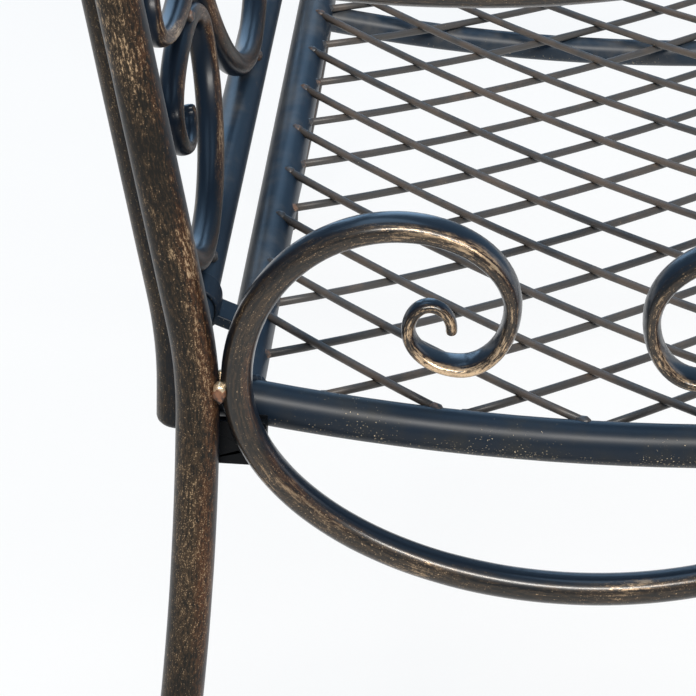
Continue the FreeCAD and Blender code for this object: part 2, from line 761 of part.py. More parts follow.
tall_top, hoop_touch = under_hoop()
tall_mid = (seat_on_rail + tall_top) / 2
tall_half = [
    (tall_back, side_up, bar_thick, bar_wide),
    (tall_foot, seat_on_rail, bar_thick, bar_wide),
]
tall_half += [(tall_far - back, up, thick, wide) for back, up, thick, wide in TALL_VOLUTE]
tall_other = [(across, 2 * tall_mid - up, thick, wide) for across, up, thick, wide in tall_half[1:]]
tall_chain = tall_other[::-1] + tall_half
end_scroll = node(scroll("back_left_scroll", end_chain, False, on_back, back_normal), "back_left_scroll")
tall_scroll = node(scroll("back_centre_left_scroll", tall_chain, True, on_back, back_normal),
                   "back_centre_left_scroll")
mirrored(end_scroll, "back_right_scroll")
mirrored(tall_scroll, "back_centre_right_scroll")

# Spacers, washers and screws between the stiles and the rear legs.
group([trimmed(f"back_spacer_{count}", spacer, [rear_leg, right_rear_leg, hoop_whole, hole])
       for count, (spacer, hole) in enumerate(spacers)], "back_spacers")
group([trimmed(f"back_washer_{count}", disc, [hoop_whole, hole]) for count, (disc, hole) in enumerate(washers)],
      "back_washers")
group(screws, "back_screws")

# Clips: a band round the back rail with a tongue that reaches the rear seat tube.
clips = []
clip_run = (rear_forward + setback, rear_height - rail_height)
clip_length = math.hypot(*clip_run)
for count, x in enumerate((size("clip_inboard") - stile_x, stile_x - size("clip_inboard"))):
    x_first = x - size("clip_wide") / 2
    band = bar(f"clip_band_{count}", at(x_first, -setback, rail_height),
               at(x_first + size("clip_wide"), -setback, rail_height), "sizes.frame_tube + 2 * sizes.clip_wall")
    band.setExpression("Height", "sizes.clip_wide")
    tongue = doc.addObject("Part::Box", f"clip_tongue_{count}")
    tongue.Length = clip_length
    tongue.setExpression("Width", "sizes.clip_wide")
    tongue.setExpression("Height", "sizes.tongue_thick")
    way = Vector(0, -clip_run[0], clip_run[1])
    corner = at(x_first + size("clip_wide"), -setback, rail_height)
    turn = FreeCAD.Rotation(way, Vector(1, 0, 0), way.cross(Vector(1, 0, 0)), "XZY")
    up = turn.multVec(Vector(0, 0, 1))
    across = turn.multVec(Vector(0, 1, 0))
    corner = corner - up * (size("tongue_thick") / 2)
    if across.x > 0:
        corner = corner - across * size("clip_wide")
    tongue.Placement = FreeCAD.Placement(corner, turn)
    clip = doc.addObject("Part::Fuse", f"clip_{count}")
    clip.Base = band
    clip.Tool = tongue
    bore = bar(f"clip_bore_{count}", at(x_first - OVERCUT, -setback, rail_height),
               at(x_first + size("clip_wide") + OVERCUT, -setback, rail_height), "sizes.frame_tube + sizes.clip_clear")
    clips.append(trimmed(f"back_clip_{count}", clip, [bore, cross_tubes["seat_rear_tube"]]))
group(clips, "back_clips")


# Weld beads: dabs of filler in the grooves on both sides of where two bars touch.
def beads(name, spot, groove_way, fitted):
    """Two round dabs, one on each side of the line of touch."""
    dabs = []
    for side in (-1, 1):
        dab = doc.addObject("Part::Sphere", f"{name}_dab")
        dab.setExpression("Radius", "sizes.weld_bead")
        dab.Placement = FreeCAD.Placement(spot + groove_way * (side * size("weld_groove")), FreeCAD.Rotation())
        dabs.append(trimmed(f"{name}_bead_{side + 1}", dab, fitted))
    return dabs


touch = tube_r + gap / 2
left_beads = beads("rear_scroll", at(leg_left, touch, size("scroll_turn")), AXIS_X, [rear_leg_whole, side_scroll])
left_beads += beads("front_scroll", at(leg_left, front_leg - touch, size("scroll_turn")), AXIS_X,
                    [front_leg_whole, side_scroll])
left_bead_group = group(left_beads, "left_weld_beads")
mirrored(left_bead_group, "right_weld_beads")

crown_spot = (stile_x - (crown_r - touch) * math.sin(hoop_touch),
              crown_centre + (crown_r - touch) * math.cos(hoop_touch))
bead_spots = [
    ("stile", (touch, end_mid), [hoop_whole, end_scroll]),
    ("volutes", (end_meet, end_mid), [end_scroll]),
    ("side", (side_touch, side_up), [end_scroll, tall_scroll]),
    ("crown", crown_spot, [hoop_whole, tall_scroll]),
]
back_beads = []
for label, spot, fitted in bead_spots:
    back_beads += beads(label, on_back(*spot), back_normal, fitted)
for label, foot_across, fitted in (("end_foot", end_foot, end_scroll), ("tall_foot", tall_foot, tall_scroll)):
    rail_axis = at(foot_across - stile_x, -setback, rail_height)
    way = (on_back(foot_across, seat_on_rail) - rail_axis).normalize()
    back_beads += beads(label, rail_axis + way * touch, AXIS_X.cross(way), [rail, fitted])
with_twins(back_beads, "back_weld_beads")

doc.recompute()
for part in doc.Objects:
    if "Invalid" in part.State or "Error" in part.State:
        raise RuntimeError(f"{part.Name} failed: {part.State}")
for part in nodes:
    if part.Shape.isNull() or not part.Shape.isValid():
        raise RuntimeError(f"{part.Label} has no valid shape")

os.makedirs("parts", exist_ok=True)
for part in nodes:
    part.Shape.exportStep(f"parts/{part.Label}.step")
    box = part.Shape.BoundBox
    print(f"{part.Label}: {len(part.Shape.Solids)} solids, {part.Shape.Volume:.0f} mm3, "
          f"z {box.ZMin:.1f} to {box.ZMax:.1f}")
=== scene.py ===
import math

import bmesh
import bpy
from mathutils import Matrix, Vector, noise


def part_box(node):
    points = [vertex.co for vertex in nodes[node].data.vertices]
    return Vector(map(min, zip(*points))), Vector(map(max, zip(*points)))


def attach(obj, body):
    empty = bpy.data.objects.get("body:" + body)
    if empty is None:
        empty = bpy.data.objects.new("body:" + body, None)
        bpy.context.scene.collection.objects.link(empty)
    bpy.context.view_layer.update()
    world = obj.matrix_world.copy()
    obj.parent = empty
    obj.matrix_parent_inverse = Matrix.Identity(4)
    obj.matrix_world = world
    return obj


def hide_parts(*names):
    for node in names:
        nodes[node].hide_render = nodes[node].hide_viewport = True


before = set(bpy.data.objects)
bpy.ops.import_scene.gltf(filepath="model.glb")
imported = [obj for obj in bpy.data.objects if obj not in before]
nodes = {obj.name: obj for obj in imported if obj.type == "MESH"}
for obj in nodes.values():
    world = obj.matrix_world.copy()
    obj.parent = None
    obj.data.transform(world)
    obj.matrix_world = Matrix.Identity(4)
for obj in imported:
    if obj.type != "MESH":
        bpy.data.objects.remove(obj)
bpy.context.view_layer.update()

# Rear legs: round steel tubes, splayed at the foot and bent back above the seat to carry the armrest.
# They are sprayed blue-black, then bronze is brushed over them by hand, most on their outer and inner faces.
leg_low, leg_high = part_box("left_rear_leg")
leg_x = (leg_low.x + leg_high.x) / 2
tube_r = (leg_high.x - leg_low.x) / 2
rear_low, rear_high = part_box("seat_rear_tube")
rear_forward = 0.0185
rear_line = (rear_low.y + rear_high.y) / 2 + rear_forward
weld_height = 0.436
foot_height = 0.005
lean = math.radians(11.5)
lean_bend = 0.260
bend_drop = 0.012
rear_splay = 0.040
arm_low_forward = 0.095
arm_low = 0.222
arm_crest_forward = 0.340
arm_crest = 0.250
ring_step = 0.005
least_steps = 14
leg_rub = 0.28
upper_rub = 0.60
rub_rise = 0.20


class Shade:
    """One output of a material's nodes, so that shader maths reads as Python."""

    def __init__(self, tree, output):
        self.tree = tree
        self.output = output

    def node(self, kind, settings=None, inputs=None, output=0):
        """Add a node: its settings first, then the values or links of its sockets."""
        made = self.tree.nodes.new(kind)
        for name, value in (settings or {}).items():
            setattr(made, name, value)
        for name, value in (inputs or {}).items():
            if isinstance(value, Shade):
                self.tree.links.new(value.output, made.inputs[name])
            else:
                made.inputs[name].default_value = value
        return Shade(self.tree, made.outputs[output])

    def maths(self, operation, first, second=0.0):
        return self.node("ShaderNodeMath", {"operation": operation}, {0: first, 1: second})

    def __add__(self, other):
        return self.maths("ADD", self, other)

    __radd__ = __add__

    def __sub__(self, other):
        return self.maths("SUBTRACT", self, other)

    def __rsub__(self, other):
        return self.maths("SUBTRACT", other, self)

    def __mul__(self, other):
        return self.maths("MULTIPLY", self, other)

    __rmul__ = __mul__

    def between(self, low, high):
        """0 below low, 1 above high, and a smooth step between them."""
        return self.node("ShaderNodeMapRange", {"interpolation_type": "SMOOTHSTEP"},
                         {"Value": self, "From Min": low, "From Max": high})

    def blend(self, first, second):
        """A colour that goes from first to second as this value goes from 0 to 1."""
        share, colour_a, colour_b, mixed_colour = 0, 6, 7, 2
        sockets = {share: self, colour_a: first, colour_b: second}
        return self.node("ShaderNodeMix", {"data_type": "RGBA"}, sockets, mixed_colour)

    def stretched(self, along, across):
        """A coordinate scaled along the bar and across it."""
        scales = (along, across, across)
        return self.node("ShaderNodeVectorMath", {"operation": "MULTIPLY"}, {0: self, 1: scales})

    def towards(self, way):
        """How far a direction points the given way, from -1 to 1."""
        return self.node("ShaderNodeVectorMath", {"operation": "DOT_PRODUCT"}, {0: self, 1: way}, "Value")

    def grain(self, scale, detail, roughness):
        """Noise over this coordinate."""
        return self.node("ShaderNodeTexNoise", {}, {"Vector": self, "Scale": scale, "Detail": detail,
                                                    "Roughness": roughness})


def new_finish(name, **constants):
    """A material whose shader has these constant values, with the shader and its wrapped output."""
    material = bpy.data.materials.new(name)
    material.use_nodes = True
    shader = material.node_tree.nodes["Principled BSDF"]
    for socket, value in constants.items():
        shader.inputs[socket.replace("_", " ")].default_value = value
    return material, shader, Shade(material.node_tree, shader.outputs[0])


def feed(shader, socket, value):
    """Link a varying value to a socket of the shader, or of the material's output."""
    value.tree.links.new(value.output, shader.inputs[socket])


def brushed_bronze(name, brushed_way, dry, loaded, fine, patchy, gloss):
    """Blue-black paint with bronze brushed along the bar, on faces that point along brushed_way or against it.

    The bronze begins where a face points that way by dry, and is full at loaded. fine is the share of small
    specks against long strokes, patchy how far the bright flecks gather, and gloss the weight of lacquer.
    """
    night = (0.0045, 0.0080, 0.0140, 1)
    umber = (0.0060, 0.0050, 0.0036, 1)
    copper = (0.0450, 0.0295, 0.0175, 1)
    rust = (0.0660, 0.0280, 0.0130, 1)
    tan = (0.1700, 0.1150, 0.0680, 1)
    pale_gold = (0.6600, 0.4700, 0.2900, 1)
    glint_gold = (0.3000, 0.2100, 0.1250, 1)
    less_on_top = (0, 0, 0.22)
    front_way = (0, -1, 0)
    patch_scale = (16, 50)
    stroke_scale = (55, 800)
    speck_scale = (240, 700)
    glint_speck_scale = (1300, 1500)
    material, shader, tool = new_finish(name, IOR=1.4, Specular_IOR_Level=0.25, Coat_Weight=gloss,
                                        Coat_Roughness=0.2)
    bar = tool.node("ShaderNodeAttribute", {"attribute_name": "straight"}, output="Vector")
    rub = tool.node("ShaderNodeAttribute", {"attribute_name": "rub"}, output="Fac")
    normal = tool.node("ShaderNodeNewGeometry", output="Normal")
    facing = tool.maths("ABSOLUTE", normal.towards(brushed_way)) - normal.towards(less_on_top)
    patches = bar.stretched(*patch_scale).grain(1.0, detail=3.0, roughness=0.55)
    strokes = bar.stretched(*stroke_scale).grain(1.0, detail=6.0, roughness=0.65)
    specks = bar.stretched(*speck_scale).grain(1.0, detail=6.0, roughness=0.72)
    fine_specks = bar.stretched(*glint_speck_scale).grain(1.0, detail=2.0, roughness=0.5)
    marks = strokes * (1 - fine) + specks * fine
    brushed = (facing + (patches - 0.5) * 0.9).between(dry, loaded)
    body = brushed.blend(night, umber)
    rubbed = (marks * 0.75 + patches * 0.25).between(0.44, 0.59) * brushed
    reddened = (normal.towards(front_way) + (patches - 0.5) * 1.6).between(0.20, 0.90)
    body = rubbed.blend(body, reddened.blend(copper, rust))
    laid = marks + (patches - 0.5) * patchy + (rub - 0.52) * 0.18
    bright = laid.between(0.57, 0.69) * brushed
    fleck = (rub + (patches - 0.5) * 0.9).between(0.35, 1.0).blend(tan, pale_gold)
    body = bright.blend(body, fleck)
    # Painted glints: the finest specks of the brushed bronze are painted pale gold, standing in for sparkle of
    # light on its metal.
    glint = (fine_specks + (marks - 0.5) * 0.5 + (patches - 0.5) * 0.3).between(0.64, 0.75) * brushed
    body = glint.blend(body, glint_gold)
    feed(shader, "Base Color", body)
    feed(shader, "Metallic", bright * 0.35 + rubbed * 0.40)
    feed(shader, "Roughness", 0.30 + brushed * 0.03 - bright * 0.05)
    ridges = {"Strength": 0.30, "Distance": 0.0004, "Height": marks * brushed}
    feed(shader, "Normal", tool.node("ShaderNodeBump", {}, ridges))
    return material


side_way = Vector((1, 0, 0))
leg_bronze = brushed_bronze("leg_bronze", side_way, dry=0.00, loaded=0.70, fine=0.80, patchy=0.35, gloss=0.0)
waves_along = 45
waves_apart = 40


def in_side_frame(side, forward, height):
    """A point of a side frame: forward of the rear leg and above the weld."""
    return Vector((side * leg_x, rear_line - forward, weld_height + height))


def arc(centre, radius, first, last):
    """Points of an arc as (across, up). 0 is across and a quarter turn is up."""
    steps = max(least_steps, round(abs(last - first) * radius / ring_step))
    turns = [first + (last - first) * step / steps for step in range(steps + 1)]
    return [(centre[0] + radius * math.cos(t), centre[1] + radius * math.sin(t)) for t in turns]


def straight_run(start, end):
    """Points along a straight stretch as (across, up)."""
    steps = max(2, round(math.dist(start, end) / ring_step))
    return [(start[0] + (end[0] - start[0]) * step / steps, start[1] + (end[1] - start[1]) * step / steps)
            for step in range(steps + 1)]


def bar_mesh():
    """A new mesh for bars, which keeps each one's straightened coordinate and its share of bronze."""
    bm = bmesh.new()
    bm.verts.layers.float_vector.new("straight")
    bm.verts.layers.float.new("rub")
    return bm


def add_bar(bm, path, wide_axis, sides, roundness, uneven, dome):
    """A bar of rings bridged along (centre, half thickness, half width, rub).

    dome gives (out, share) of the rings that close each end, in half thicknesses.
    """
    straight = bm.verts.layers.float_vector["straight"]
    rub_layer = bm.verts.layers.float["rub"]
    stations = []
    for count, (centre, thick, wide, rub) in enumerate(path):
        behind = path[max(count - 1, 0)][0]
        beyond = path[min(count + 1, len(path) - 1)][0]
        stations.append((centre, (beyond - behind).normalized(), thick, wide, rub))
    first, last = stations[0], stations[-1]
    for out, share in dome:
        for end, way in ((first, -1), (last, 1)):
            centre = end[0] + end[1] * (way * end[2] * out)
            cap = (centre, end[1], end[2] * share, end[3] * share, end[4])
            stations.insert(0 if way < 0 else len(stations), cap)
    along = 0.0
    loops = []
    for count, (centre, ahead, thick, wide, rub) in enumerate(stations):
        if count:
            along += (centre - stations[count - 1][0]).length
        width_way = (wide_axis - ahead * wide_axis.dot(ahead)).normalized()
        turn = Matrix((width_way.cross(ahead), width_way, ahead)).transposed()
        wave = Vector((along * waves_along, first[0].x * waves_apart, first[0].y * waves_apart))
        swell = 1 + uneven * noise.noise(wave)
        ring = bmesh.ops.create_circle(bm, cap_ends=False, segments=sides, radius=1.0)["verts"]
        for vert in ring:
            across, up = (math.copysign(abs(part) ** roundness, part) for part in vert.co[:2])
            vert.co = (across * thick * swell, up * wide * swell, 0)
            vert[straight] = (along, vert.co.x, vert.co.y)
            vert[rub_layer] = rub
        bmesh.ops.transform(bm, matrix=Matrix.Translation(centre) @ turn.to_4x4(), verts=ring)
        loops.append(list({edge for vert in ring for edge in vert.link_edges}))
    for loop, next_loop in zip(loops, loops[1:]):
        bmesh.ops.bridge_loops(bm, edges=loop + next_loop)
    for loop in (loops[0], loops[-1]):
        bmesh.ops.contextual_create(bm, geom=loop)


def drawn_bar(name, path, wide_axis, sides, roundness, uneven, dome):
    """An object of one bar."""
    bm = bar_mesh()
    add_bar(bm, path, wide_axis, sides, roundness, uneven, dome)
    return finished(name, bm)


def finished(name, bm):
    """A smooth object with this mesh, its faces outwards."""
    bmesh.ops.recalc_face_normals(bm, faces=bm.faces)
    for face in bm.faces:
        face.smooth = True
    mesh = bpy.data.meshes.new(name)
    bm.to_mesh(mesh)
    bm.free()
    piece = bpy.data.objects.new(name, mesh)
    bpy.context.scene.collection.objects.link(piece)
    return piece


def dress(piece, material, slot, *stood_for):
    """Finish a piece, fix it to the bench and let it stand for its CAD nodes."""
    piece.data.materials.append(material)
    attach(piece, "root")
    if stood_for:
        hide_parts(*stood_for)


def splayed_foot(forward, splay):
    """The lower leg: one long arc from the foot to its upright end below the weld."""
    drop = weld_height - foot_height - bend_drop
    radius = (drop**2 + splay**2) / (2 * abs(splay))
    turn = math.asin(drop / radius)
    if splay < 0:
        return arc((forward - radius, -bend_drop), radius, -turn, 0)
    return arc((forward + radius, -bend_drop), radius, math.pi + turn, math.pi)


arm_run = arm_crest_forward - arm_low_forward
arm_climb = arm_crest - arm_low
arm_sweep = (arm_run**2 / arm_climb + arm_climb) / 4
bend_top = lean_bend * math.sin(lean) - bend_drop
bend_shift = lean_bend * (1 - math.cos(lean))


def leaning_forward(height, setback):
    """Where a leaning tube's axis is, on its straight part."""
    return -setback - bend_shift - (height - bend_top) * math.tan(lean)


def rub_at(height):
    """The legs carry more bright bronze above the seat than below it."""
    return leg_rub + (upper_rub - leg_rub) * min(max(height / rub_rise + 0.5, 0), 1)


both_sides = ((1, "left"), (-1, "right"))
tube_sides = 32
true_round = 1.0
tube_uneven = 0.004
leg_top_forward = leaning_forward(arm_low, 0)
leg_top = arm_low + arm_sweep - math.sqrt(arm_sweep**2 - (leg_top_forward - arm_low_forward) ** 2)
rear_leg = splayed_foot(0, -rear_splay)
rear_leg += arc((-lean_bend, -bend_drop), lean_bend, 0, lean)[1:]
rear_leg += straight_run(rear_leg[-1], (leaning_forward(leg_top, 0), leg_top))[1:]
for side, word in both_sides:
    path = [(in_side_frame(side, *point), tube_r, tube_r, rub_at(point[1])) for point in rear_leg]
    leg = drawn_bar(f"{word}_rear_tube", path, side_way, tube_sides, true_round, tube_uneven, [])
    dress(leg, leg_bronze, "bronze_paint", f"{word}_rear_leg")

# Front legs: the same tube, splayed forward at the foot and straight up to the armrest.
# They have the paint and brushed bronze of the rear legs.
leg_spacing = 0.371
front_splay = 0.035
front_leg = splayed_foot(leg_spacing, front_splay)
front_leg += straight_run(front_leg[-1], (leg_spacing, arm_crest))[1:]
for side, word in both_sides:
    path = [(in_side_frame(side, *point), tube_r, tube_r, rub_at(point[1])) for point in front_leg]
    leg = drawn_bar(f"{word}_front_tube", path, side_way, tube_sides, true_round, tube_uneven, [])
    dress(leg, leg_bronze, "bronze_paint", f"{word}_front_leg")

# Foot glides: moulded black plastic cups, pushed over the feet of the legs.
# Their matt grain is scuffed paler near the floor.
glide_black = (0.010, 0.010, 0.011, 1)
glide_grey = (0.026, 0.026, 0.027, 1)
glide_scuff = (0.085, 0.082, 0.078, 1)
scuff_fade = (0, 0, 40)
glide_plastic, glide_shader, glide_tool = new_finish("glide_plastic", IOR=1.46)
glide_place = glide_tool.node("ShaderNodeTexCoord", output="Object")
glide_grain = glide_place.grain(900.0, detail=2.0, roughness=0.5)
glide_marks = glide_place.grain(160.0, detail=4.0, roughness=0.6)
scuffed = (glide_marks - glide_place.towards(scuff_fade)).between(0.35, 0.60)
feed(glide_shader, "Base Color", scuffed.blend(glide_grain.blend(glide_black, glide_grey), glide_scuff))
feed(glide_shader, "Roughness", 0.42 + glide_grain * 0.2)
glide_pits = {"Strength": 0.2, "Distance": 0.0003, "Height": glide_grain}
feed(glide_shader, "Normal", glide_tool.node("ShaderNodeBump", {}, glide_pits))
merge_reach = 1e-6
rounded_angle = math.radians(40)
sharp_angle = math.radians(32)


def keep(node, material, rounded=0.0):
    """A CAD piece whose shape is right: smooth round faces, rounded or sharp edges and its own finish."""
    piece = nodes[node]
    piece.data.materials.clear()
    piece.data.materials.append(material)
    piece.data.shade_smooth()
    merge = piece.modifiers.new("merge", "WELD")
    merge.merge_threshold = merge_reach
    if rounded:
        soft = piece.modifiers.new("soft", "BEVEL")
        soft.width = rounded
        soft.segments = 2
        soft.limit_method = "ANGLE"
        soft.angle_limit = rounded_angle
        even = piece.modifiers.new("even", "WEIGHTED_NORMAL")
        even.keep_sharp = True
    else:
        split = piece.modifiers.new("sharp", "EDGE_SPLIT")
        split.split_angle = sharp_angle


keep("foot_glides", glide_plastic)

# Side scrolls: one bar on each side, bowed under the seat, with both ends drawn out thin and rolled up hot.
# They are welded to the inner faces of the legs, and their volutes carry the most brushed bronze.
touch_gap = 0.00012
scroll_thick = 0.0155
scroll_wide = 0.018
tip_thick = 0.0056
tip_dome = [(0.30, 0.93), (0.48, 0.76), (0.58, 0.45)]
scroll_roundness = 0.95
scroll_edge = tube_r + touch_gap + scroll_thick / 2
scroll_half = [
    (leg_spacing / 2, -0.101, scroll_thick, scroll_wide),
    (scroll_edge, 0.009, scroll_thick, scroll_wide),
    (0.0985, 0.0965, 0.0135, 0.0200),
    (0.1520, 0.0560, 0.0090, 0.0215),
    (0.1270, 0.0230, 0.0082, 0.0195),
    (0.1020, 0.0420, 0.0070, 0.0140),
    (0.1120, 0.0550, 0.0064, 0.0100),
    (0.1230, 0.0420, tip_thick, 0.0085),
]
scroll_uneven = 0.012
scroll_rub = 0.38
scroll_tip_rub = 0.85
scroll_bronze = brushed_bronze("scroll_bronze", side_way, dry=0.10, loaded=0.80, fine=0.50, patchy=0.75,
                               gloss=0.55)


def mirrored_chain(half, centre, axis):
    """A symmetrical scroll's chain of (across, up, thick, wide): the half's mirror image, then the half."""
    other = []
    for point in half[1:]:
        turned = list(point)
        turned[axis] = 2 * centre - point[axis]
        other.append(tuple(turned))
    return other[::-1] + half


def rolled(chain, level):
    """Stations of (across, up, thick, wide) on quarter ellipses between a scroll's outermost points.

    level says whether the bar sets off level or upright.
    """
    stations = [chain[0]]
    for here, there in zip(chain, chain[1:]):
        centre = (here[0], there[1]) if level else (there[0], here[1])
        reach = abs(here[0] - there[0]) + abs(here[1] - there[1])
        steps = max(least_steps, round(reach / ring_step))
        for step in range(1, steps + 1):
            turn = step / steps * math.pi / 2
            spot = [middle + (first - middle) * math.cos(turn) + (last - middle) * math.sin(turn)
                    for middle, first, last in zip(centre, here, there)]
            size = [here[k] + (there[k] - here[k]) * step / steps for k in (2, 3)]
            stations.append((*spot, *size))
        level = not level
    return stations


def drawn_thin(thick, full_thick, least, most):
    """More bronze is rubbed on where the bar has been drawn out thinner."""
    return least + (most - least) * (full_thick - thick) / (full_thick - tip_thick)


side_chain = mirrored_chain(scroll_half, leg_spacing / 2, axis=0)
for side, word in both_sides:
    path = []
    for across, up, thick, wide in rolled(side_chain, level=False):
        rub = drawn_thin(thick, scroll_thick, scroll_rub, scroll_tip_rub)
        path.append((in_side_frame(side, across, up), thick / 2, wide / 2, rub))
    scroll = drawn_bar(f"{word}_scroll_bar", path, side_way, tube_sides, scroll_roundness, scroll_uneven,
                       tip_dome)
    dress(scroll, scroll_bronze, "bronze_paint", f"{word}_side_scroll")

# Armrests: heavier bars that sag behind the seat, rise over the front legs and roll down into a volute.
# They rest on the ends of the legs, to which they are welded.
arm_thick = 0.020
arm_wide = 0.027
arm_tail = 0.062
arm_nose = 0.450
arm_turn = math.asin(arm_run / 2 / arm_sweep)
arm_tail_turn = math.asin((arm_low_forward + arm_tail) / arm_sweep)
arm_uneven = 0.008
arm_rub = 0.40
arm_tip_rub = 1.0
arm_line = arc((arm_low_forward, arm_low + arm_sweep), arm_sweep,
               -math.pi / 2 - arm_tail_turn, -math.pi / 2 + arm_turn)
arm_line += arc((arm_crest_forward, arm_crest - arm_sweep), arm_sweep,
                math.pi / 2 + arm_turn, math.pi / 2)[1:]
arm_curl = [
    (arm_crest_forward, arm_crest, arm_thick, arm_wide),
    (arm_nose, 0.198, 0.0090, 0.0250),
    (arm_nose - 0.025, 0.166, 0.0082, 0.0200),
    (arm_nose - 0.048, 0.187, 0.0070, 0.0150),
    (arm_nose - 0.035, 0.205, 0.0064, 0.0110),
    (arm_nose - 0.022, 0.191, tip_thick, 0.0090),
]
arm_stations = [(*point, arm_thick, arm_wide) for point in arm_line] + rolled(arm_curl, level=True)[1:]
for side, word in both_sides:
    path = []
    for across, up, thick, wide in arm_stations:
        rub = drawn_thin(thick, arm_thick, arm_rub, arm_tip_rub)
        path.append((in_side_frame(side, across, up), thick / 2, wide / 2, rub))
    arm = drawn_bar(f"{word}_arm_bar", path, side_way, tube_sides, scroll_roundness, arm_uneven, tip_dome)
    dress(arm, scroll_bronze, "bronze_paint", f"{word}_armrest")

# Welds of the side frames: dabs of filler in the grooves where the scrolls touch the legs.
# Their colour holds painted light: a pale gold painted highlight on top and outward faces, and coppery painted
# shade below.
side_dab = (0.0036, 0.0043, 0.0060)
side_dab_run = Vector((0, 0, -0.006))
side_dab_fineness = 3
dab_lumps = 0.22
lump_scale = 1.8
lump_spread = 300
up_way = Vector((0, 0, 1))
weld_highlight_cream = (0.66, 0.50, 0.32, 1)
weld_copper = (0.17, 0.075, 0.038, 1)
weld_shade_dark = (0.030, 0.018, 0.012, 1)
weld_metal, weld_shader, weld_tool = new_finish("weld_metal", IOR=1.5)
weld_spots = weld_tool.node("ShaderNodeTexCoord", output="Object").grain(420.0, detail=3.0, roughness=0.5)
weld_normal = weld_tool.node("ShaderNodeNewGeometry", output="Normal")
weld_up = weld_normal.towards(up_way)
weld_out = weld_tool.maths("ABSOLUTE", weld_normal.towards(side_way))
# Painted shade: faces that point down turn from copper to dark, mottled by noise.
weld_shaded_under = (weld_spots + weld_up * 0.3).between(0.30, 0.55).blend(weld_shade_dark, weld_copper)
# Painted highlight: faces that point up, and a little those that point outward, turn pale gold.
weld_highlight = (weld_up + weld_out * 0.3 + (weld_spots - 0.5) * 1.2).between(0.45, 0.75)
feed(weld_shader, "Base Color", weld_highlight.blend(weld_shaded_under, weld_highlight_cream))
feed(weld_shader, "Metallic", weld_highlight * 0.5 + 0.3)
feed(weld_shader, "Roughness", 0.42 - weld_highlight * 0.12)


def dab_centres(node):
    """The middle of each separate dab of a CAD node."""
    bm = bmesh.new()
    bm.from_mesh(nodes[node].data)
    bmesh.ops.remove_doubles(bm, verts=bm.verts, dist=merge_reach)
    seen = set()
    centres = []
    for start in bm.verts:
        if start in seen:
            continue
        seen.add(start)
        island = [start]
        for vert in island:
            beside = [edge.other_vert(vert) for edge in vert.link_edges]
            fresh = [other for other in beside if other not in seen]
            seen.update(fresh)
            island += fresh
        corners = [[limit(vert.co[k] for vert in island) for k in range(3)] for limit in (min, max)]
        centres.append((Vector(corners[0]) + Vector(corners[1])) / 2)
    bm.free()
    return centres


def add_dab(bm, centre, reach, turn, fineness):
    """One lumpy dab of weld metal."""
    ball = bmesh.ops.create_icosphere(bm, subdivisions=fineness, radius=1.0)["verts"]
    for vert in ball:
        vert.co *= 1 + dab_lumps * noise.noise(vert.co * lump_scale + centre * lump_spread)
    bmesh.ops.scale(bm, vec=reach, verts=ball)
    bmesh.ops.transform(bm, matrix=Matrix.Translation(centre) @ turn.to_4x4(), verts=ball)


for word in ("left", "right"):
    weld_bm = bmesh.new()
    for centre in dab_centres(f"{word}_weld_beads"):
        add_dab(weld_bm, centre + side_dab_run, side_dab, Matrix.Identity(3), side_dab_fineness)
    dress(finished(f"{word}_frame_welds", weld_bm), weld_metal, "weld_bronze", f"{word}_weld_beads")

# Seat side tubes: smooth round tube, bent to the dish of the seat, with a domed plug in each open end.
# They are sprayed satin blue-black, and stray specks of bronze lie on their lower flanks.
seat_night = (0.0050, 0.0100, 0.0180)
seat_brown = (0.0130, 0.0145, 0.0160)
speck_gold = (0.42, 0.34, 0.23, 1)


def satin_paint(name, colour, brown, speck_share, gloss):
    """Smooth dark spray paint: cloudy, faintly pebbled and specked low on its flanks.

    It turns to brown in cloudy places, as wear, and on rear faces, as painted light. speck_share is how many
    specks there are.
    """
    lit_rear_way = (0, 0.25, 0.05)
    material, shader, tool = new_finish(name, IOR=1.5, Specular_IOR_Level=gloss)
    place = tool.node("ShaderNodeTexCoord", output="Object")
    clouds = place.grain(16.0, detail=4.0, roughness=0.55)
    normal = tool.node("ShaderNodeNewGeometry", output="Normal")
    mottle = place.grain(60.0, detail=3.0, roughness=0.6)
    # Painted light: faces that point rearward and a little up get the second colour, as if lit from behind;
    # cloudy noise also spreads it as wear.
    worn_and_lit = (clouds + mottle - 0.5 + normal.towards(lit_rear_way)).between(0.38, 0.85)
    body = worn_and_lit.blend((*colour, 1), (*brown, 1))
    spots = place.grain(1000.0, detail=2.0, roughness=0.5)
    specks = spots + (clouds - 0.5) * 0.35 - normal.towards(up_way) * 0.06
    fine_specks = specks.between(0.74 - speck_share, 0.79 - speck_share)
    feed(shader, "Base Color", fine_specks.blend(body, speck_gold))
    feed(shader, "Roughness", 0.33 + clouds * 0.14 + fine_specks * 0.2)
    pebbles = {"Strength": 0.10, "Distance": 0.0003, "Height": place.grain(300.0, detail=3.0, roughness=0.5)}
    feed(shader, "Normal", tool.node("ShaderNodeBump", {}, pebbles))
    return material


seat_paint = satin_paint("seat_paint", seat_night, seat_brown, speck_share=0.05, gloss=0.22)
for node in ("seat_left_tube", "seat_right_tube", "seat_tube_plugs"):
    keep(node, seat_paint)

# Seat front and rear tubes: straight lengths of the same tube, butted between the side tubes.
# Their satin paint turns grey in cloudy places, and the grey on their rear faces is painted light.
cross_night = (0.0095, 0.0180, 0.0300)
cross_grey = (0.0480, 0.0480, 0.0490)
cross_paint = satin_paint("cross_paint", cross_night, cross_grey, speck_share=0.02, gloss=0.25)
for node in ("seat_rear_tube", "seat_front_tube"):
    keep(node, cross_paint)

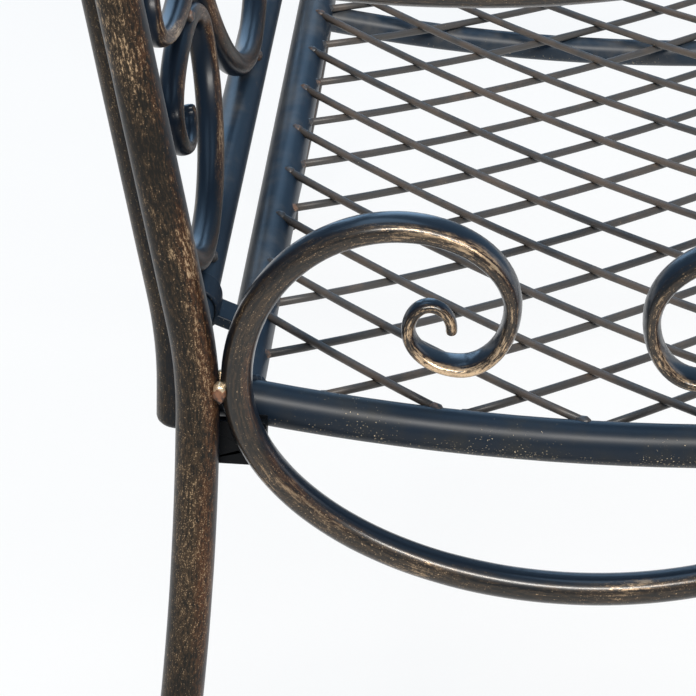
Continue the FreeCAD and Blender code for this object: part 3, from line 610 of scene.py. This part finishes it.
# Corner welds: a rippled seam of filler round each end of the front and rear tubes, painted over.
# Each seam follows the saddle where one tube meets the side of the other.
half_length = 0.500
front_past_leg = 0.0175
front_forward = leg_spacing + front_past_leg
dish = 1.120
dish_forward = 0.190
rear_height = -0.018
dish_centre = rear_height + math.sqrt(dish**2 - (dish_forward - rear_forward) ** 2)
seam_half = 0.0024
seam_ripple = 0.16
seam_ripples = 26
seam_steps = 44
seam_sides = 12
seam_uneven = 0.10
unrubbed = 0.0
seam_start = math.radians(-72)
seam_sweep = math.radians(144)


def dish_height(forward, rise):
    """Height above the weld of a curve that lies rise above the side tubes' axis."""
    return dish_centre - math.sqrt((dish - rise) ** 2 - (forward - dish_forward) ** 2)


for word, forward in (("rear", rear_forward), ("front", front_forward)):
    axis_height = dish_height(forward, 0)
    for side, hand in ((-1, "left"), (1, "right")):
        for flank, face in ((1, "fore"), (-1, "aft")):
            path = []
            for step in range(seam_steps + 1):
                turn = seam_start + seam_sweep * step / seam_steps
                out = forward + flank * tube_r * math.cos(turn)
                up = axis_height + tube_r * math.sin(turn)
                above = min(abs(up - dish_height(out, 0)), tube_r)
                inboard = half_length - math.sqrt(tube_r**2 - above**2)
                swell = 1 + seam_ripple * math.sin(seam_ripples * turn)
                spot = in_side_frame(0, out, up) + side_way * (side * inboard)
                path.append((spot, seam_half * swell, seam_half * swell, unrubbed))
            name = f"{word}_{hand}_{face}_seam"
            seam = drawn_bar(name, path, side_way, seam_sides, true_round, seam_uneven, tip_dome)
            dress(seam, seat_paint, "seat_paint")

# Centre support: a thinner bar under the lattice at mid-length, bent to the dish.
# It is welded between the front and rear tubes and has their paint.
keep("seat_centre_support", cross_paint)

# Lattice rods: two layers of thin drawn wire, bent to the dish and crossed at a slant.
# They are welded between the frame tubes, and at each crossing to one another.
# Their thinner paint is a warmer grey, rubbed brown in places, with brown painted on rear faces as painted
# light.
rod_r = 0.0022
rod_pitch = 0.0564
rod_step = 0.025
rod_bite = 0.0015
rod_sides = 10
rod_uneven = 0.0
shortest_rod = 0.040
rod_layers = (("lower", 0.005, 0.790, 0.0070), ("upper", 0.00952, -0.760, 0.0125))
rod_grey = (0.0460, 0.0430, 0.0410)
rod_brown = (0.0820, 0.0630, 0.0500)
rod_paint = satin_paint("rod_paint", rod_grey, rod_brown, speck_share=-0.03, gloss=0.3)
rod_runs = []
for word, rise, slope, phase in rod_layers:
    rod_bm = bar_mesh()
    into_tube = math.sqrt(tube_r**2 - rise**2)
    inner = half_length - into_tube
    stretch = math.hypot(1, slope)
    most_rods = int((half_length + abs(slope) * leg_spacing) / rod_pitch) + 1
    for count in range(-most_rods, most_rods + 1):
        x_low = count * rod_pitch + phase
        limits = sorted((edge - x_low) / slope + dish_forward for edge in (-inner, inner))
        start = max(rear_forward + into_tube, limits[0])
        end = min(front_forward - into_tube, limits[1])
        if (end - start) * stretch < shortest_rod:
            continue
        steps = round((end - start) * stretch / rod_step)
        path = []
        for step in range(steps + 1):
            forward = start - rod_bite + (end - start + 2 * rod_bite) * step / steps
            spot = in_side_frame(0, forward, dish_height(forward, rise))
            spot.x = x_low + slope * (forward - dish_forward)
            path.append((spot, rod_r, rod_r, unrubbed))
        add_bar(rod_bm, path, up_way, rod_sides, true_round, rod_uneven, [])
        rod_runs.append(path)
    dress(finished(f"rods_{word}", rod_bm), rod_paint, "rod_paint", f"seat_rods_{word}")

# Rod welds: a dab of filler where each rod's end meets a frame tube.
# Heat has left many of them orange-brown under thin paint.
rod_dab = (0.0044, 0.0031, 0.0027)
rod_dab_fineness = 2
heat_orange = (0.150, 0.085, 0.055, 1)
heat_grey = (0.036, 0.034, 0.034, 1)
heat_metal, heat_shader, heat_tool = new_finish("heat_metal", IOR=1.5, Specular_IOR_Level=0.4)
heat_place = heat_tool.node("ShaderNodeTexCoord", output="Object")
heat_grain = heat_place.grain(500.0, detail=3.0, roughness=0.5) - 0.5
heat_tint = (heat_place.grain(30.0, detail=2.0, roughness=0.5) + heat_grain * 0.5).between(0.50, 0.72)
feed(heat_shader, "Base Color", heat_tint.blend(heat_grey, heat_orange))
feed(heat_shader, "Roughness", 0.38 + heat_tint * 0.15)
rod_weld_bm = bmesh.new()
for path in rod_runs:
    along = path[-1][0] - path[0][0]
    along = Vector((along.x, along.y, 0)).normalized()
    turn = Matrix((along, up_way.cross(along), up_way)).transposed()
    for end in (path[0], path[-1]):
        add_dab(rod_weld_bm, end[0], rod_dab, turn, rod_dab_fineness)
dress(finished("rod_welds", rod_weld_bm), heat_metal, "rod_paint")

# Seat tabs and leg lugs: short plates cut from strip, with rounded ends and one hole each.
# The tabs are welded under the side tubes and the lugs to the legs, and both are painted nearly black.
plate_edge = 0.0012
plate_black = (0.0030, 0.0038, 0.0050)
plate_brown = (0.0080, 0.0070, 0.0065)
plate_paint = satin_paint("plate_paint", plate_black, plate_brown, speck_share=0.0, gloss=0.10)
for node in ("seat_tabs", "left_leg_lugs", "right_leg_lugs"):
    keep(node, plate_paint, plate_edge)

# Seat bolts and washers: hexagon bolts that hold the tabs to the tapped lugs.
# They are blackened steel, rubbed brighter in places.
steel_black = (0.040, 0.040, 0.043, 1)
steel_worn = (0.200, 0.195, 0.190, 1)
dark_steel, steel_shader, steel_tool = new_finish("dark_steel", Metallic=1.0)
steel_grain = steel_tool.node("ShaderNodeTexCoord", output="Object").grain(260.0, detail=4.0, roughness=0.6)
steel_rubbed = steel_grain.between(0.48, 0.70)
feed(steel_shader, "Base Color", steel_rubbed.blend(steel_black, steel_worn))
feed(steel_shader, "Roughness", 0.46 - steel_rubbed * 0.16)
bolt_edge = 0.0004
for node in ("seat_bolts", "seat_washers"):
    keep(node, dark_steel, bolt_edge)

# Back hoop: one tube that stands behind the seat, leans back with the legs and arches over the top.
# Its ends are closed with rounded caps, and it is brushed nearly all round with the bronze of the legs.
setback = 0.0125
stile_x = 0.500
rail_drop = 0.006
stile_drop = 0.029
cap_rise = 0.006
cap_rings = 5
hoop_spring = 0.240
hoop_rise = 0.210
shoulder = 0.150
crown_r = ((stile_x - shoulder) ** 2 + hoop_rise**2 - shoulder**2) / (2 * (hoop_rise - shoulder))
crown_turn = math.asin((stile_x - shoulder) / (crown_r - shoulder))
back_normal = Vector((0, -math.cos(lean), math.sin(lean)))
back_bronze = brushed_bronze("back_bronze", back_normal, dry=-0.25, loaded=0.65, fine=0.7, patchy=0.4,
                             gloss=0.0)


def on_back(across, up):
    """A point of the leaning back: across from the left stile's axis and up from the rail's axis."""
    height = up * math.cos(lean) - rail_drop
    return Vector((across - stile_x, rear_line - leaning_forward(height, setback), weld_height + height))


stile = straight_run((-setback, -stile_drop), (-setback, -bend_drop))
stile += arc((-lean_bend - setback, -bend_drop), lean_bend, 0, lean)[1:]
spring_height = hoop_spring * math.cos(lean) - rail_drop
stile += straight_run(stile[-1], (leaning_forward(spring_height, setback), spring_height))[1:]
left_stile = [Vector((-stile_x, rear_line - forward, weld_height + height)) for forward, height in stile]
arch = arc((shoulder, hoop_spring), shoulder, math.pi, math.pi / 2 + crown_turn)[1:]
arch += arc((stile_x, hoop_spring + hoop_rise - crown_r), crown_r,
            math.pi / 2 + crown_turn, math.pi / 2)[1:]
half_hoop = left_stile + [on_back(*point) for point in arch]
whole_hoop = half_hoop + [Vector((-spot.x, spot.y, spot.z)) for spot in half_hoop[-2::-1]]
cap_turns = [math.pi / 2 * (ring + 1) / (cap_rings + 0.5) for ring in range(cap_rings)]
cap_dome = [(cap_rise / tube_r * math.sin(turn), math.cos(turn)) for turn in cap_turns]
hoop_path = [(spot, tube_r, tube_r, leg_rub) for spot in whole_hoop]
hoop = drawn_bar("hoop_tube", hoop_path, back_normal, tube_sides, true_round, tube_uneven, cap_dome)
dress(hoop, back_bronze, "bronze_paint", "back_hoop", "back_stile_caps")

# Back rail: a straight tube between the stiles, just behind the rear seat tube, that the scrolls stand on.
# It is welded in at both ends and has the paint of the seat's rear tube, grey in cloudy places and on its rear
# faces as painted light.
keep("back_bottom_rail", cross_paint)

# Back clips: a band of strap round the rail, with a tongue that reaches the rear seat tube.
# They are pressed from strip and painted with the seat.
clip_edge = 0.0009
keep("back_clips", seat_paint, clip_edge)

# End scrolls of the back: C-scrolls whose two volutes meet, of bar drawn out thin at the volutes.
# Each is welded to a stile, to the rail and to the tall scroll beside it.
bar_thick = 0.014
bar_wide = 0.015
volute_thick = 0.012
volute_wide = 0.0145
seat_on_tube = tube_r + touch_gap + bar_thick / 2
rail_shift = leaning_forward(-rail_drop, setback) + setback
seat_on_rail = rail_shift * math.sin(lean) + math.sqrt(seat_on_tube**2 - (rail_shift * math.cos(lean)) ** 2)
end_mid = 0.120
end_foot = 0.108
end_far = 0.224
end_bulge = 0.027
end_meet = 0.173
end_half = [
    (seat_on_tube, end_mid, bar_thick, bar_wide),
    (end_foot, seat_on_rail, bar_thick, bar_wide),
    (end_far, end_mid - end_bulge, volute_thick, volute_wide),
    (end_meet, end_mid - volute_thick / 2 - touch_gap, volute_thick, volute_wide),
    (end_meet - 0.0756, end_mid - 0.0283, 0.0090, 0.0125),
    (end_meet - 0.0480, end_mid - 0.0500, 0.0075, 0.0105),
    (end_meet - 0.0270, end_mid - 0.0400, 0.0060, 0.0080),
]
back_rub = 0.35
back_tip_rub = 0.75
back_scroll_bronze = brushed_bronze("back_scroll_bronze", back_normal, dry=0.25, loaded=0.85, fine=0.50,
                                    patchy=0.6, gloss=0.03)


def stand_in_back(name, chain, level, stands_for):
    """Both scrolls of a pair, each in its half of the back."""
    for side, word in both_sides:
        path = []
        for across, up, thick, wide in rolled(chain, level):
            spot = on_back(across, up)
            spot.x *= side
            path.append((spot, thick / 2, wide / 2, drawn_thin(thick, bar_thick, back_rub, back_tip_rub)))
        scroll = drawn_bar(f"back_{word}_{name}_bar", path, back_normal, tube_sides, scroll_roundness,
                           scroll_uneven, tip_dome)
        dress(scroll, back_scroll_bronze, "bronze_paint", stands_for.format(word))


end_chain = mirrored_chain(end_half, end_mid, axis=1)
stand_in_back("end", end_chain, level=False, stands_for="back_{}_scroll")

# Tall scrolls of the back: two mirrored scrolls of the same bar, as high as the hoop, with two volutes each.
# They are welded to the rail, to the crown of the hoop and to the end scrolls.
tall_back = end_far + volute_thick / 2 + touch_gap + bar_thick / 2
tall_foot_in = 0.133
tall_foot = tall_back + tall_foot_in
tall_far = stile_x - touch_gap - volute_thick / 2
tall_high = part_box("back_centre_left_scroll")[1]
bar_crown = math.hypot(bar_thick / 2 * math.cos(lean), bar_wide / 2 * math.sin(lean))
tall_top = (tall_high.z - bar_crown - weld_height + rail_drop) / math.cos(lean)
tall_mid = (seat_on_rail + tall_top) / 2
tall_half = [
    (tall_back, end_mid + end_bulge, bar_thick, bar_wide),
    (tall_foot, seat_on_rail, bar_thick, bar_wide),
    (tall_far, 0.098, volute_thick, volute_wide),
    (tall_far - 0.062, 0.156, 0.0110, 0.0150),
    (tall_far - 0.112, 0.108, 0.0090, 0.0135),
    (tall_far - 0.086, 0.076, 0.0075, 0.0120),
    (tall_far - 0.064, 0.098, 0.0064, 0.0100),
    (tall_far - 0.080, 0.114, tip_thick, 0.0085),
]
tall_chain = mirrored_chain(tall_half, tall_mid, axis=1)
stand_in_back("tall", tall_chain, level=True, stands_for="back_centre_{}_scroll")

# Welds of the back: dabs of filler where the scrolls touch the hoop, the rail and each other.
# They are painted over and browned by heat, like the welds of the rods.
back_dab = (0.0036, 0.0030, 0.0036)
back_dab_fineness = 2
back_weld_bm = bmesh.new()
for centre in dab_centres("back_weld_beads"):
    add_dab(back_weld_bm, centre, back_dab, Matrix.Identity(3), back_dab_fineness)
dress(finished("back_welds", back_weld_bm), heat_metal, "weld_bronze", "back_weld_beads")

# Spacers: short lengths of thin tube between the stiles and the rear legs, cut to fit both.
# They are painted dark and browned with the bronze of the hoop in places, and the brown on their rear faces is
# painted light.
spacer_black = (0.0100, 0.0100, 0.0110)
spacer_brown = (0.0360, 0.0240, 0.0160)
spacer_paint = satin_paint("spacer_paint", spacer_black, spacer_brown, speck_share=0.05, gloss=0.3)
keep("back_spacers", spacer_paint)

# Back screws and washers: round-headed screws through the stiles and spacers into the rear legs.
# They are the blackened steel of the seat bolts.
for node in ("back_screws", "back_washers"):
    keep(node, dark_steel, bolt_edge)

# Floor: a wide sheet of matt paper, which is not part of the bench.
# It glows white to the camera and in reflections, and keeps the bench's soft shadow.
floor_reach = 30
floor_cream = (0.90, 0.85, 0.78, 1)
floor_share = 0.84
floor_bm = bmesh.new()
bmesh.ops.create_grid(floor_bm, x_segments=1, y_segments=1, size=floor_reach)
floor = finished("floor", floor_bm)
floor_paint, _, floor_tool = new_finish("floor_white", Roughness=0.9, Base_Color=floor_cream)
camera_ray = floor_tool.node("ShaderNodeLightPath", output="Is Camera Ray")
mirrored_ray = floor_tool.node("ShaderNodeLightPath", output="Is Glossy Ray")
passed_ray = floor_tool.node("ShaderNodeLightPath", output="Is Transmission Ray")
seen = floor_tool.maths("MAXIMUM", floor_tool.maths("MAXIMUM", camera_ray, mirrored_ray), passed_ray)
glow = floor_tool.node("ShaderNodeEmission", {}, {"Color": (1, 1, 1, 1), "Strength": 1.0})
cover = floor_tool.node("ShaderNodeMixShader", {}, {0: seen * floor_share, 1: floor_tool, 2: glow})
feed(floor_paint.node_tree.nodes["Material Output"], "Surface", cover)
floor.data.materials.append(floor_paint)

# Light: a blue sky, and a long warm strip lamp high above the left end.
# Two blue lamps light the bench from overhead and from beyond, and a weak white one from the front.
sky_blue = (0.42, 0.68, 1.0)
sky_strength = 0.42
world = bpy.data.worlds.new("studio")
world.use_nodes = True
sky = world.node_tree.nodes["Background"].inputs
sky["Color"].default_value = (*sky_blue, 1)
sky["Strength"].default_value = sky_strength
bpy.context.scene.world = world
lamp_aim = Vector((-0.3, 0.05, 0.45))
for name, spot, wide, high, power, colour in (
    ("key", (-2.5, -0.5, 2.9), 3.0, 0.35, 190, (1.0, 0.95, 0.88)),
    ("beyond", (3.4, 0.8, 1.5), 2.4, 2.4, 35, sky_blue),
    ("overhead", (0.3, 0.9, 3.6), 2.4, 2.4, 40, (0.48, 0.72, 1.0)),
    ("front", (0.8, -3.0, 1.6), 2.0, 2.0, 14, (1.0, 1.0, 1.0)),
):
    lamp = bpy.data.lights.new(name, "AREA")
    lamp.shape = "RECTANGLE"
    lamp.size = wide
    lamp.size_y = high
    lamp.energy = power
    lamp.color = colour
    holder = bpy.data.objects.new(name, lamp)
    holder.location = spot
    holder.rotation_euler = (lamp_aim - Vector(spot)).to_track_quat("-Z", "Y").to_euler()
    bpy.context.scene.collection.objects.link(holder)

# Camera: past the left end of the bench, at its rear corner and above it, with a long lens.
# Its place and turn were solved from the straight tubes, and its lens is worked out for a square image.
image_size = 696
focal_pixels = 3500
camera_place = (-2.021, 0.0229, 1.281)
yaw = math.radians(2.94)
fall = math.radians(28.61)
roll = math.radians(2.0)
camera_data = bpy.data.cameras.new("camera")
camera_data.sensor_width = 36.0
camera_data.lens = focal_pixels / image_size * camera_data.sensor_width
ahead = Vector((math.cos(fall) * math.cos(yaw), math.cos(fall) * math.sin(yaw), -math.sin(fall)))
right = ahead.cross(up_way).normalized()
above = right.cross(ahead)
camera_right = right * math.cos(roll) + above * math.sin(roll)
camera_up = above * math.cos(roll) - right * math.sin(roll)
camera = bpy.data.objects.new("camera", camera_data)
camera_turn = Matrix((camera_right, camera_up, -ahead)).transposed()
camera.matrix_world = Matrix.Translation(camera_place) @ camera_turn.to_4x4()
bpy.context.scene.collection.objects.link(camera)
bpy.context.scene.camera = camera
bpy.context.scene.view_settings.view_transform = "Standard"
